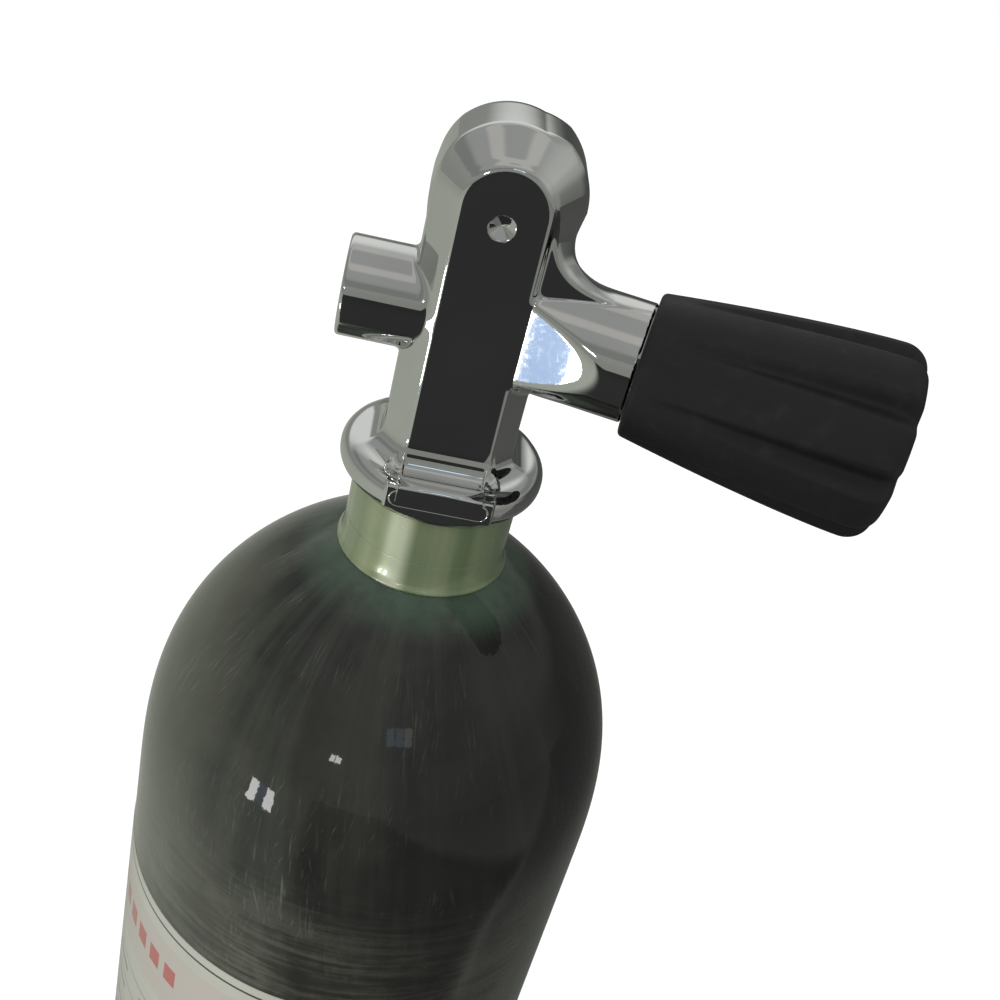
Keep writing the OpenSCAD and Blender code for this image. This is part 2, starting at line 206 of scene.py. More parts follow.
def coords(tree):
    return tree.nodes.new("ShaderNodeTexCoord").outputs["Object"]


def xyz(tree, vector):
    n = tree.nodes.new("ShaderNodeSeparateXYZ")
    tree.links.new(vector, n.inputs[0])
    return n.outputs


def vector(tree, x, y, z):
    n = tree.nodes.new("ShaderNodeCombineXYZ")
    for i, v in enumerate((x, y, z)):
        if isinstance(v, (int, float)):
            n.inputs[i].default_value = v
        else:
            tree.links.new(v, n.inputs[i])
    return n.outputs[0]


def bump(tree, shader, height, strength, distance):
    n = node(tree, "ShaderNodeBump", Strength=strength, Distance=distance)
    tree.links.new(height, n.inputs["Height"])
    tree.links.new(n.outputs[0], shader.inputs["Normal"])
    return n


def dress(obj, mat):
    obj.data.materials.clear()
    obj.data.materials.append(mat)


# ---------------------------------------------------------------- materials
def chrome_material(name, tint, rough, wave):
    mat, t, s = material(name)
    p = coords(t)
    cloud = noise(t, p, 60, 4, 0.55)
    fine = noise(t, p, 900, 2, 0.5)
    color = mix_color(t, ramp(t, cloud, 0.35, 0.7), [c * 0.94 for c in tint], tint)
    t.links.new(color, s.inputs["Base Color"])
    s.inputs["Metallic"].default_value = 1.0
    low = math_node(t, "MULTIPLY_ADD", ramp(t, fine, 0.45, 0.75), 0.03, rough)
    t.links.new(low, s.inputs["Roughness"])
    bump(t, s, math_node(t, "ADD", cloud, math_node(t, "MULTIPLY", fine, 0.02)), wave, 0.0006)
    return mat


def rubber_material(name, base, rough, grain):
    mat, t, s = material(name)
    p = coords(t)
    cloud = noise(t, p, 45, 5, 0.6)
    fine = noise(t, p, 1500, 3, 0.6)
    dust = noise(t, p, 210, 6, 0.65)
    pale = [c * 1.8 + 0.004 for c in base]
    mixed = mix_color(t, math_node(t, "MULTIPLY", ramp(t, dust, 0.5, 0.8), 0.5), base, pale)
    t.links.new(mixed, s.inputs["Base Color"])
    r = math_node(t, "MULTIPLY_ADD", cloud, 0.22, rough - 0.11)
    t.links.new(r, s.inputs["Roughness"])
    s.inputs["Specular IOR Level"].default_value = 0.28
    bump(t, s, math_node(t, "ADD", fine, math_node(t, "MULTIPLY", cloud, 0.6)), grain, 0.00012)
    return mat


def turned_material(name, tint, rough):
    mat, t, s = material(name)
    p = coords(t)
    x, y, z = xyz(t, p)
    across = math_node(t, "MULTIPLY", y, 0.1)
    up = math_node(t, "MULTIPLY", z, 0.1)
    rings = noise(t, vector(t, x, across, up), 4000, 2)
    color = mix_color(t, rings, [c * 0.8 for c in tint], tint)
    t.links.new(color, s.inputs["Base Color"])
    s.inputs["Metallic"].default_value = 1.0
    t.links.new(math_node(t, "MULTIPLY_ADD", rings, 0.15, rough), s.inputs["Roughness"])
    bump(t, s, rings, 0.15, 0.0001)
    return mat


def plastic_material(name, tint, rough):
    mat, t, s = material(name)
    p = coords(t)
    cloud = noise(t, p, 120, 4, 0.6)
    fine = noise(t, p, 1800, 2)
    t.links.new(mix_color(t, cloud, [c * 0.85 for c in tint], tint), s.inputs["Base Color"])
    t.links.new(math_node(t, "MULTIPLY_ADD", fine, 0.15, rough), s.inputs["Roughness"])
    bump(t, s, fine, 0.15, 0.0001)
    return mat


def fibre_noise(t, p, turn, scale, along, detail=4.0):
    """Noise drawn out along a winding that turns by 'turn' radians per metre of height."""
    x, y, z = xyz(t, p)
    angle = math_node(t, "ADD", math_node(t, "ARCTAN2", y, x), math_node(t, "MULTIPLY", z, turn))
    height = math_node(t, "MULTIPLY", z, along)
    v = vector(t, math_node(t, "COSINE", angle), math_node(t, "SINE", angle), height)
    return noise(t, v, scale, detail, 0.6)


def wrap_material():
    """Dark winding under clear resin: cloudy tows, short pale fibres, and a green tint near the neck.

    The base colour also holds painted light, paler towards -X, and painted shade, darker towards +X.
    """
    mat, t, s = material("clear_wrap")
    p = coords(t)
    x, y, z = xyz(t, p)
    cloud = noise(t, p, 22, 5, 0.6)
    patch = noise(t, p, 48, 5, 0.7)
    tow = fibre_noise(t, p, 3.0, 7, 1.6, 3)
    band = vector(t, math_node(t, "MULTIPLY", x, 0.06), math_node(t, "MULTIPLY", y, 0.06), z)
    hoop = noise(t, band, 700, 3, 0.65)
    fibres = []
    for turn, scale, along, low in ((2.0, 62, 1.3, 0.58), (-3.5, 80, 1.8, 0.59), (7.0, 52, 1.1, 0.62)):
        fibres.append(ramp(t, fibre_noise(t, p, turn, scale, along, 3), low, low + 0.14))
    lines = math_node(t, "MAXIMUM", math_node(t, "MAXIMUM", fibres[0], fibres[1]), fibres[2])
    lines = math_node(t, "MULTIPLY", lines, ramp(t, patch, 0.40, 0.66))
    base = mix_color(t, ramp(t, cloud, 0.34, 0.62), (0.008, 0.009, 0.009), (0.021, 0.022, 0.017))
    tows = ramp(t, tow, 0.42, 0.7)
    base = mix_color(t, math_node(t, "MULTIPLY", tows, 0.5), base, (0.036, 0.038, 0.029))
    # Painted light: the base colour turns paler towards -X.
    painted_light_leftness = math_node(t, "MULTIPLY_ADD", x, -1.0, math_node(t, "MULTIPLY", cloud, 0.03))
    painted_light_left = ramp(t, painted_light_leftness, 0.034, 0.072)
    base = mix_color(t, math_node(t, "MULTIPLY", painted_light_left, 0.8), base, (0.072, 0.078, 0.058))
    hoops = ramp(t, math_node(t, "ADD", patch, hoop), 0.8, 1.25)
    low = math_node(t, "MULTIPLY", ramp(t, z, 0.385, 0.345), hoops)
    base = mix_color(t, math_node(t, "MULTIPLY", low, 0.6), base, (0.10, 0.105, 0.08))
    base = mix_color(t, math_node(t, "MULTIPLY", lines, 0.34), base, (0.15, 0.155, 0.135))
    # Painted shade: the base colour turns darker towards +X.
    right = ramp(t, x, -0.020, 0.024)
    base = mix_color(t, math_node(t, "MULTIPLY", right, 0.7), base, (0.007, 0.007, 0.007))
    high = ramp(t, z, (LIP_Z - 7) * MM, (LIP_Z - 0.5) * MM)
    near_neck = math_node(t, "MULTIPLY", high, ramp(t, patch, 0.2, 0.6))
    base = mix_color(t, math_node(t, "MULTIPLY", near_neck, 0.85), base, (0.045, 0.072, 0.050))
    t.links.new(base, s.inputs["Base Color"])
    t.links.new(math_node(t, "MULTIPLY_ADD", lines, 0.2, 0.4), s.inputs["Roughness"])
    s.inputs["Specular IOR Level"].default_value = 0.06
    s.inputs["Coat Weight"].default_value = 1.0
    s.inputs["Coat Roughness"].default_value = 0.035
    s.inputs["Coat IOR"].default_value = 1.42
    bump(t, s, math_node(t, "ADD", lines, math_node(t, "MULTIPLY", hoop, 0.5)), 0.2, 0.0003)
    ripple = node(t, "ShaderNodeBump", Strength=0.05, Distance=0.0012)
    t.links.new(math_node(t, "ADD", patch, math_node(t, "MULTIPLY", tow, 0.5)), ripple.inputs["Height"])
    t.links.new(ripple.outputs[0], s.inputs["Coat Normal"])
    return mat


def neck_material():
    """Green-tinted alloy under clear resin, with a painted highlight as a pale upright band and painted
    shade as a darker +X side.
    """
    mat, t, s = material("neck_alloy")
    p = coords(t)
    x, y, z = xyz(t, p)
    streak = fibre_noise(t, p, 0.0, 2.6, 1.0, 3)
    cloud = noise(t, p, 55, 4, 0.6)
    band = vector(t, math_node(t, "MULTIPLY", x, 0.05), math_node(t, "MULTIPLY", y, 0.05), z)
    rings = noise(t, band, 900, 2)
    color = mix_color(t, ramp(t, streak, 0.25, 0.75), (0.13, 0.18, 0.09), (0.30, 0.34, 0.20))
    clouded = math_node(t, "MULTIPLY", ramp(t, cloud, 0.45, 0.7), 0.35)
    color = mix_color(t, clouded, color, (0.15, 0.23, 0.14))
    # Painted shade: the colour turns darker towards +X.
    right = math_node(t, "MULTIPLY", ramp(t, x, -0.006, 0.015), 0.6)
    color = mix_color(t, right, color, (0.085, 0.125, 0.06))
    # Painted highlight: a pale upright band where x lies between -10.5 and -2.5 mm.
    pale = math_node(t, "MULTIPLY", ramp(t, x, -0.0105, -0.0075), ramp(t, x, -0.0025, -0.0055))
    color = mix_color(t, math_node(t, "MULTIPLY", pale, 0.7), color, (0.58, 0.62, 0.46))
    t.links.new(color, s.inputs["Base Color"])
    s.inputs["Metallic"].default_value = 0.45
    t.links.new(math_node(t, "MULTIPLY_ADD", cloud, 0.14, 0.22), s.inputs["Roughness"])
    s.inputs["Coat Weight"].default_value = 1.0
    s.inputs["Coat Roughness"].default_value = 0.04
    bump(t, s, math_node(t, "ADD", math_node(t, "MULTIPLY", rings, 0.3), cloud), 0.08, 0.0002)
    return mat


def rect(t, u, v, u0, u1, v0, v1):
    """1 inside the rectangle u0..u1, v0..v1, else 0."""
    inside = math_node(t, "MULTIPLY", math_node(t, "GREATER_THAN", u, u0), math_node(t, "LESS_THAN", u, u1))
    up = math_node(t, "MULTIPLY", math_node(t, "GREATER_THAN", v, v0), math_node(t, "LESS_THAN", v, v1))
    return math_node(t, "MULTIPLY", inside, up)


def label_material(z_low, z_high, mid, half):
    """u runs round the cylinder and v up it, in metres from the label's lower corner."""
    mat, t, s = material("printed_label")
    p = coords(t)
    x, y, z = xyz(t, p)
    c, n = math.cos(mid), math.sin(mid)
    ahead = math_node(t, "ADD", math_node(t, "MULTIPLY", x, c), math_node(t, "MULTIPLY", y, n))
    aside = math_node(t, "SUBTRACT", math_node(t, "MULTIPLY", y, c), math_node(t, "MULTIPLY", x, n))
    angle = math_node(t, "ARCTAN2", aside, ahead)
    u = math_node(t, "MULTIPLY", math_node(t, "ADD", angle, half), TANK_R * MM)
    v = math_node(t, "SUBTRACT", z, z_low)
    width, height = 2 * half * TANK_R * MM, z_high - z_low
    # Painted shade: the ground, pink and red tones are the label's own colours dimmed across the whole
    # label.
    paper_with_painted_shade, pink = (0.39, 0.39, 0.335), (0.37, 0.315, 0.285)
    ink, red, grey = (0.03, 0.03, 0.03), (0.34, 0.035, 0.03), (0.15, 0.15, 0.145)
    columns = ((0.012, 0.014), (0.031, 0.020), (0.058, 0.012), (0.078, 0.024), (0.110, 0.016))
    color = mix_color(t, ramp(t, noise(t, p, 25, 3), 0.3, 0.7), [c * 0.93 for c in paper_with_painted_shade], paper_with_painted_shade)

    def paint(mask, ink_color, amount=1.0):
        nonlocal color
        color = mix_color(t, math_node(t, "MULTIPLY", mask, amount), color, ink_color)

    def frame_lines(inset, thick, tint):
        outer = rect(t, u, v, inset, width - inset, inset, height - inset)
        inner = rect(t, u, v, inset + thick, width - inset - thick, inset + thick, height - inset - thick)
        paint(math_node(t, "SUBTRACT", outer, inner, clamp=True), tint)

    frame_lines(0.0026, 0.0007, ink)
    paint(rect(t, u, v, 0.008, width - 0.008, height - 0.030, height - 0.0075), pink, 0.6)
    for i in range(8):
        u0 = 0.040 + i * 0.0068
        paint(rect(t, u, v, u0, u0 + 0.0044, height - 0.0205, height - 0.0145), red, 0.85)
    for i in range(9):
        top = height - 0.038 - i * 0.0088
        paint(rect(t, u, v, 0.010, width - 0.010, top - 0.0002, top + 0.0002), ink, 0.8)
        for k, (u0, size) in enumerate(columns):
            u1 = u0 + size * (0.7 + 0.3 * ((i * 3 + k) % 4) / 3)
            tint = red if (i + k) % 5 == 0 else grey
            paint(rect(t, u, v, u0, u1, top - 0.0052, top - 0.0032), tint, 0.9)
    t.links.new(color, s.inputs["Base Color"])
    t.links.new(math_node(t, "MULTIPLY_ADD", noise(t, p, 300, 3), 0.15, 0.3), s.inputs["Roughness"])
    s.inputs["Coat Weight"].default_value = 0.8
    s.inputs["Coat Roughness"].default_value = 0.05
    bump(t, s, noise(t, p, 120, 3), 0.1, 0.0003)
    return mat


CHROME = chrome_material("polished_chrome", (0.80, 0.81, 0.80), 0.03, 0.03)
SATIN = chrome_material("turned_chrome", (0.66, 0.67, 0.66), 0.16, 0.12)
GRIP = rubber_material("grip_rubber", (0.0085, 0.0085, 0.0088), 0.52, 0.5)
BOOT = rubber_material("boot_rubber", (0.015, 0.015, 0.016), 0.6, 0.6)
SEAL = rubber_material("seal_rubber", (0.012, 0.012, 0.012), 0.4, 0.2)
HUB = plastic_material("hub_plastic", (0.03, 0.03, 0.032), 0.4)
NYLON = plastic_material("white_nylon", (0.75, 0.74, 0.68), 0.4)
BRASS = turned_material("turned_brass", (0.72, 0.52, 0.24), 0.22)
STEEL = turned_material("bright_steel", (0.60, 0.61, 0.62), 0.2)
WRAP = wrap_material()
NECK = neck_material()

CAD_LOOKS = {
    "liner": NECK, "carbon_wrap": WRAP, "neck_o_ring": SEAL, "dip_tube": BRASS, "bonnet": SATIN,
    "bonnet_gasket": NYLON, "upper_spindle": BRASS, "thrust_washer": NYLON, "spindle_o_rings": SEAL,
    "lower_spindle": BRASS, "seat_disc": NYLON, "knob_core": HUB, "knob_spring": STEEL, "knob_washer": STEEL,
    "knob_nut": STEEL, "burst_gasket": NYLON, "burst_disc": BRASS, "burst_plug": SATIN,
}
for name, mat in CAD_LOOKS.items():
    dress(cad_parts[name], mat)


# ---------------------------------------------------------------- cylinder
def shoulder(lip_r, n=72):
    t = 1 - np.cos(np.linspace(0, math.pi / 2, n))
    g = (1 - (1 - t) ** 2.9) ** (1 / 1.1)
    return [(lip_r + (TANK_R - lip_r) * gi, LIP_Z - SHOULDER_H * ti) for gi, ti in zip(g, t)]


def build_wrap():
    outer = shoulder(19.0)
    low = outer[-1][1]
    outer += [(TANK_R, low + (SHELL_LOW + BASE_H - low) * i / 24) for i in range(1, 24)]
    a = np.linspace(0, math.pi / 2, 28)
    outer += [(max(TANK_R * math.cos(t), 0.4), SHELL_LOW + BASE_H - BASE_H * math.sin(t)) for t in a]
    inner = [(max(r - 0.5, 0.3), z + 0.25 * (r < TANK_R - 0.01) * (z < 200)) for r, z in outer[:0:-8]]
    inner.append((18.45, LIP_Z - 0.4))
    lip = [(18.45, LIP_Z), (18.75, LIP_Z + 0.12)]
    obj = revolve("wrap_skin", inner + lip + outer, steps=256)
    return obj


wrap = build_wrap()
dress(wrap, WRAP)
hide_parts("glass_wrap")
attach(wrap, "cylinder")


def build_bead():
    """Clear resin that runs up the foot of the neck and ends in a bead."""
    foot = arc(18.85, LIP_Z + 0.45, 0.6, -80, 60, 8)
    rise = [(18.405 + 0.6 * (1 - i / 12) ** 3, LIP_Z + 1.15 + 6.0 * i / 12) for i in range(1, 13)]
    return revolve("neck_bead", [(18.38, LIP_Z + 0.2)] + foot + rise + [(18.38, LIP_Z + 7.3)], steps=192)


bead = build_bead()
dress(bead, NECK)
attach(bead, "cylinder")


def build_label():
    lo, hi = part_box("label")
    z0, z1 = lo.z / MM, hi.z / MM
    mid, half = math.radians(212), math.radians(75)
    corner = 5.0
    cols, rows = 120, 40
    r_out, r_in = TANK_R + 0.2, TANK_R + 0.02
    pts = []
    for r in (r_out, r_in):
        for i in range(rows):
            z = z0 + (z1 - z0) * i / (rows - 1)
            edge = max(0.0, corner - min(z - z0, z1 - z))
            pull = corner - math.sqrt(max(corner ** 2 - edge ** 2, 0.0))
            span = half - pull / TANK_R
            for j in range(cols):
                a = mid - span + 2 * span * j / (cols - 1)
                pts.append((r * math.cos(a), r * math.sin(a), z))
    face = grid_faces(rows, cols, wrap=False)
    size = rows * cols
    faces = face + [[i + size for i in f[::-1]] for f in face]
    for j in range(cols - 1):
        faces.append([j + 1, j, j + size, j + 1 + size])
        k = (rows - 1) * cols + j
        faces.append([k, k + 1, k + 1 + size, k + size])
    for i in range(rows - 1):
        k = i * cols
        faces.append([k, k + cols, k + cols + size, k + size])
        k = i * cols + cols - 1
        faces.append([k + cols, k, k + size, k + cols + size])
    obj = new_mesh("label_sheet", np.array(pts) * MM, faces)
    sharpen(obj, 40)
    dress(obj, label_material(lo.z, hi.z, mid, half))
    return obj


label = build_label()
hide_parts("label")
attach(label, "cylinder")


# ---------------------------------------------------------------- boot
def build_boot():
    """Moulded cup with vertical ribs, a rolled top bead and a flat underside."""
    in_r, steps = TANK_R + 0.05, 480
    outer = [(r, 0.0) for r in (0.6, 20, 36, 39.5, 54.5, 57)]
    outer += arc(BOOT_R - 2.2, 2.2, 2.2, -80, 0, 6)
    outer += [(BOOT_R, z) for z in (6, 9, 10, 12, 20, 30, 40, 50, 56, 58, 60)]
    outer += arc(BOOT_R - 1.6, BOOT_H - 1.6, 1.6, 0, 170, 12)
    inner = [(in_r, BOOT_H - 2.5), (in_r, 60), (in_r, SHELL_LOW + BASE_H)]
    a = np.linspace(0.05, math.pi / 2, 14)
    inner += [(max(in_r * math.cos(t), 0.6), SHELL_LOW + BASE_H - (BASE_H + 0.05) * math.sin(t)) for t in a]
    prof = np.array(outer + inner)
    ang = np.linspace(0, 2 * math.pi, steps, endpoint=False)
    r = np.repeat(prof[:, :1], steps, 1)
    z = np.repeat(prof[:, 1:], steps, 1)
    wave = 0.5 - 0.5 * np.cos(ang * BOOT_RIBS)
    groove = np.clip((wave - 0.45) / 0.25, 0, 1)
    body = (r > BOOT_R - 0.01) & (z > 9.5) & (z < 57)
    r = r - body * groove[None, :] * 1.3
    pts = np.stack([r * np.cos(ang), r * np.sin(ang), z], -1).reshape(-1, 3)
    obj = new_mesh("boot_cup", pts * MM, closed_faces(len(prof), steps))
    sharpen(obj, 50)
    return obj


boot = build_boot()
dress(boot, BOOT)
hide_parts("tank_boot")
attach(boot, "cylinder")


# ---------------------------------------------------------------- valve body
UP = (0, 0, 1)
OUTLET_AT = (0, 0, OUTLET_Z)
KNOB_AT = (0, 0, KNOB_Z)


def smin(a, b, k):
    h = np.clip(0.5 + 0.5 * (b - a) / k, 0, 1)
    return b + (a - b) * h - k * h * (1 - h)


def smax(a, b, k):
    return -smin(-a, -b, k)


def disc(p, centre, axis, radius, low, high, edge):
    """Rounded solid cylinder along axis from low to high."""
    q = p - np.array(centre)
    s = q @ np.array(axis)
    radial = np.sqrt(np.maximum((q * q).sum(-1) - s * s, 1e-12))
    dr = radial - (radius - edge)
    ds = np.abs(s - (low + high) / 2) - ((high - low) / 2 - edge)
    return np.minimum(np.maximum(dr, ds), 0) + np.hypot(np.maximum(dr, 0), np.maximum(ds, 0)) - edge


def column_field(p):
    """Round-headed column with a crown, a bulge on its right and a bevel round its rear face."""
    x, y, z = p[:, 0], p[:, 1], p[:, 2]
    across = np.hypot(x, z - np.clip(z, -2, ARCH_Z))
    rear_bevel = ((across - 8.7) * 5.9 - (y - REAR_Y) * 5.1) / 7.8
    crown = 0.9 * np.clip((z - ARCH_Z) / 10, 0, 1)
    bulge = 2.0 * np.clip(x / 10, 0, 1) * np.clip((z - 54) / 8, 0, 1) * np.clip((y + 7.0) / 4.0, 0, 1)
    body = smax(across - COLUMN_R - np.maximum(crown, bulge), rear_bevel, 0.6)
    front = 8.0 + 2.5 * np.clip((z - 38) / 10, 0, 1) + 2.0 * np.clip((z - 58) / 8, 0, 1)
    body = smax(body, y - front, 5.0)
    return np.maximum(body, -z)


def add_branches(p, body):
    """Outlet, stub and handwheel boss, with the web that spreads from the boss up the column."""
    x, y, z = p[:, 0], p[:, 1], p[:, 2]
    outlet = disc(p, OUTLET_AT, (0, 1, 0), OUTLET_R, -2.0, 14.0, 1.2)
    body = smin(body, outlet, 1.2)
    stub = disc(p, KNOB_AT, (-1, 0, 0), STUB_R, -4, STUB_END, 0.7)
    body = smin(body, stub, 1.4)
    boss = disc(p, KNOB_AT, KNOB_AXIS, BOSS_R, -2, BOSS_END, 0.5)
    spread = (10.5 + 3.6 * np.clip((-y - 2) / 7, 0, 1)) * np.clip(x / 6, 0, 1)
    web = smin(body, boss, 2.0 + spread * np.clip((z - 38) / 8, 0, 1))
    body = smin(smin(body, boss, 1.6), smax(web, -10.0 - y, 0.6), 0.5)
    rear = REAR_Y - y
    flat = (rear - 0.53 * np.maximum(x - 9.2, 0)) / np.where(x > 9.2, 1.13, 1.0)
    return smax(body, flat, 0.7)


def add_collar(p, body):
    """Collar with its rear facet, the ledge above that, and the trough and scoops in the ledge."""
    x, y, z = p[:, 0], p[:, 1], p[:, 2]
    collar = disc(p, (0, 0, 0.6), UP, COLLAR_R, -4.4, 3.4, 3.6)
    collar = smin(collar, disc(p, (0, 0, 0), UP, 19.3, -5.0, 0, 0.8), 1.5)
    collar = smax(collar, FACET_Y - y, 0.5)
    body = smin(body, collar, 6.0)
    tag = np.maximum.reduce([np.abs(x) - TAG_HALF, z - 3.3, -z - 2.2, y + 13.0])
    body = smin(body, smax(tag, FACET_Y - y, 0.6), 0.4)
    run = np.clip((-y + REAR_Y) / 8.4, 0, 1)
    ledge_top = 7.2 - 3.9 * np.sqrt(np.clip(run * (2 - run), 0, 1))
    ledge = np.maximum.reduce([np.abs(x) - 8.6, z - ledge_top, FACET_Y - y, y, -z])
    body = smin(body, ledge, 0.6)
    trough = np.maximum(np.hypot(y + 14.6, (z - 6.3) * 0.9) - 2.6, np.abs(x) - 8.4)
    body = smax(body, -trough, 0.5)
    for side in (-1, 1):
        scoop = np.sqrt((x - side * 10.0) ** 2 + ((y + 14.6) * 0.8) ** 2 + ((z - 5.6) * 0.9) ** 2) - 1.9
        body = smax(body, -scoop, 0.9)
    stem = disc(p, (0, 0, 0), UP, 8.95, -25, 0, 0.5)
    return np.minimum(body, stem)


def cut_bores(p, body):
    """Open ends of the bores, and the conical mark in the rear face."""
    x, y, z = p[:, 0], p[:, 1], p[:, 2]
    bore = disc(p, OUTLET_AT, (0, 1, 0), BORE_R, -1.5, 30, 0.2)
    body = smax(body, -bore, 0.8)
    flow = disc(p, OUTLET_AT, (0, 1, 0), 2.0, -8, 2, 0.2)
    body = np.maximum(body, -flow)
    port = disc(p, KNOB_AT, (-1, 0, 0), PLUG_R, 15.4, 40, 0.2)
    body = smax(body, -port, 0.6)
    chamber = disc(p, KNOB_AT, KNOB_AXIS, BONNET_R, 22.5, 50, 0.2)
    body = smax(body, -chamber, 0.4)
    inner = disc(p, KNOB_AT, KNOB_AXIS, CHAMBER_R, 6.0, 24, 0.1)
    body = np.maximum(body, -inner)
    inlet = disc(p, (0, 0, 0), UP, INLET_R, -30, -15, 0.1)
    body = np.maximum(body, -inlet)
    cone = (np.hypot(x, z - OUTLET_Z) - MARK_R + (y - REAR_Y) * 1.35) / 1.68
    return smax(body, -cone, 0.15)


def valve_field(p):
    """Signed distance to the forged body, in mm, measured from the collar's middle."""
    return cut_bores(p, add_collar(p, add_branches(p, column_field(p))))


def gradient(field, p, h=0.02):
    g = np.empty_like(p)
    for i in range(3):
        d = np.zeros(3)
        d[i] = h
        g[:, i] = (field(p + d) - field(p - d)) / (2 * h)
    return g


def surface_net(field, low, high, step):
    """Quads on the zero level of a field, with points drawn onto it."""
    axes = [np.arange(a, b + step, step) for a, b in zip(low, high)]
    shape = tuple(len(a) for a in axes)
    values = np.empty(shape)
    for i, xv in enumerate(axes[0]):
        yy, zz = np.meshgrid(axes[1], axes[2], indexing="ij")
        pts = np.stack([np.full(yy.size, xv), yy.ravel(), zz.ravel()], -1)
        values[i] = field(pts).reshape(yy.shape)
    cells = tuple(s - 1 for s in shape)
    total = np.zeros(cells + (3,))
    count = np.zeros(cells)
    inside = values < 0
    offsets = [(a, b, c) for a in (0, 1) for b in (0, 1) for c in (0, 1)]
    for a in offsets:
        for axis in range(3):
            if a[axis]:
                continue
            b = tuple(v + (k == axis) for k, v in enumerate(a))
            va = values[tuple(slice(o, o + c) for o, c in zip(a, cells))]
            vb = values[tuple(slice(o, o + c) for o, c in zip(b, cells))]
            cross = (va < 0) != (vb < 0)
            t = np.where(cross, va / np.where(va == vb, 1, va - vb), 0)
            for k in range(3):
                total[..., k] += np.where(cross, a[k] + (t if k == axis else 0), 0)
            count += cross
    used = count > 0
    index = np.full(cells, -1)
    index[used] = np.arange(used.sum())
    where = np.argwhere(used)
    points = np.array(low) + (where + total[used] / count[used][:, None]) * step
    quads = []
    for axis in range(3):
        u, v = (axis + 1) % 3, (axis + 2) % 3
        n = [slice(1, -1)] * 3
        n[axis] = slice(0, -1)
        m = list(n)
        m[axis] = slice(1, None)
        a, b = inside[tuple(n)], inside[tuple(m)]
        spots = np.argwhere(a != b)
        flag = a[a != b]
        spots[:, u] += 1
        spots[:, v] += 1
        corner = []
        for du, dv in ((0, 0), (-1, 0), (-1, -1), (0, -1)):
            c = spots.copy()
            c[:, u] += du
            c[:, v] += dv
            corner.append(index[c[:, 0], c[:, 1], c[:, 2]])
        q = np.stack(corner, -1)
        q[~flag] = q[~flag][:, ::-1]
        quads.append(q)
    quads = np.concatenate(quads)
    quads = quads[(quads >= 0).all(1)]
    for _ in range(4):
        f = field(points)
        g = gradient(field, points)
        move = -f[:, None] * g / np.maximum((g * g).sum(1), 0.05)[:, None]
        length = np.linalg.norm(move, axis=1)[:, None]
        points = points + move * np.minimum(1, 0.4 * step / np.maximum(length, 1e-9))
    return points, quads


def build_valve():
    step = 0.45
    low, high = (-29.0, -24.0, -26.5), (36.5, 24.0, 77.5)
    points, quads = surface_net(valve_field, low, high, step)
    normals = gradient(valve_field, points, 0.12)
    normals /= np.maximum(np.linalg.norm(normals, axis=1), 1e-9)[:, None]
    obj = new_mesh("forged_body", (points + [0, 0, COLLAR_Z]) * MM, quads)
    obj.data.normals_split_custom_set_from_vertices([tuple(n) for n in normals])
    return obj


valve = build_valve()
dress(valve, CHROME)
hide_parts("valve_body")
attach(valve, "cylinder")


# ---------------------------------------------------------------- handwheel grip
def build_grip():
    """Moulded grip with eight broad lobes that deepen towards a rounded end."""
    steps = GRIP_LOBES * 40
    end = GRIP_S + GRIP_LEN
    prof = [(13.4, GRIP_S + 0.4)] + arc(GRIP_R - 1.2, GRIP_S + 1.2, 1.2, -100, 0, 6)
    for i in range(1, 40):
        t = i / 40
        swell = 5.2 * (1 - (1 - t) ** 1.35) - 0.2 * t * t
        prof.append((GRIP_R + swell, GRIP_S + 1.2 + (GRIP_LEN - 6.4) * t))
    prof += arc(GRIP_END_R - 5.2, end - 5.2, 5.2, 0, 84, 14)
    prof += [(12.5, end - 0.05), (10.6, end - 0.1)] + arc(9.9, end - 0.9, 0.75, 90, 180, 5)
    prof += [(9.12, end - 2.5), (9.12, end - 3.05)]
    inner = [(16.45, end - 3.05), (14.2, GRIP_S + 0.45)]
    prof = np.array(prof + inner)
    ang = np.linspace(0, 2 * math.pi, steps, endpoint=False)
    r = np.repeat(prof[:, :1], steps, 1)
    s = np.repeat(prof[:, 1:], steps, 1)
    along = np.clip((s - GRIP_S - 3) / (GRIP_LEN - 8), 0, 1)
    phase = np.abs(((ang - GRIP_PHASE) * GRIP_LOBES / (2 * math.pi) + 0.5) % 1.0 - 0.5) * 2
    width = 0.26 + 0.24 * along
    dip = np.clip(1 - phase[None, :] / width, 0, 1)
    dip = dip * dip * (3 - 2 * dip)
    outside = np.zeros(len(prof), bool)
    outside[: len(prof) - len(inner) - 9] = True
    fade = np.clip((r - 11.0) / 7.0, 0, 1) * outside[:, None]
    depth = (0.25 + 2.5 * along ** 0.9) * np.clip((s - GRIP_S - 1.5) / 6, 0, 1)
    r = r - depth * dip * fade
    pts = np.stack([r * np.cos(ang), r * np.sin(ang), s], -1).reshape(-1, 3)
    obj = new_mesh("handwheel_grip", to_knob(pts) * MM, closed_faces(len(prof), steps))
    sharpen(obj, 60)
    return obj


grip = build_grip()
dress(grip, GRIP)
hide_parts("knob_grip")
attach(grip, "handwheel")


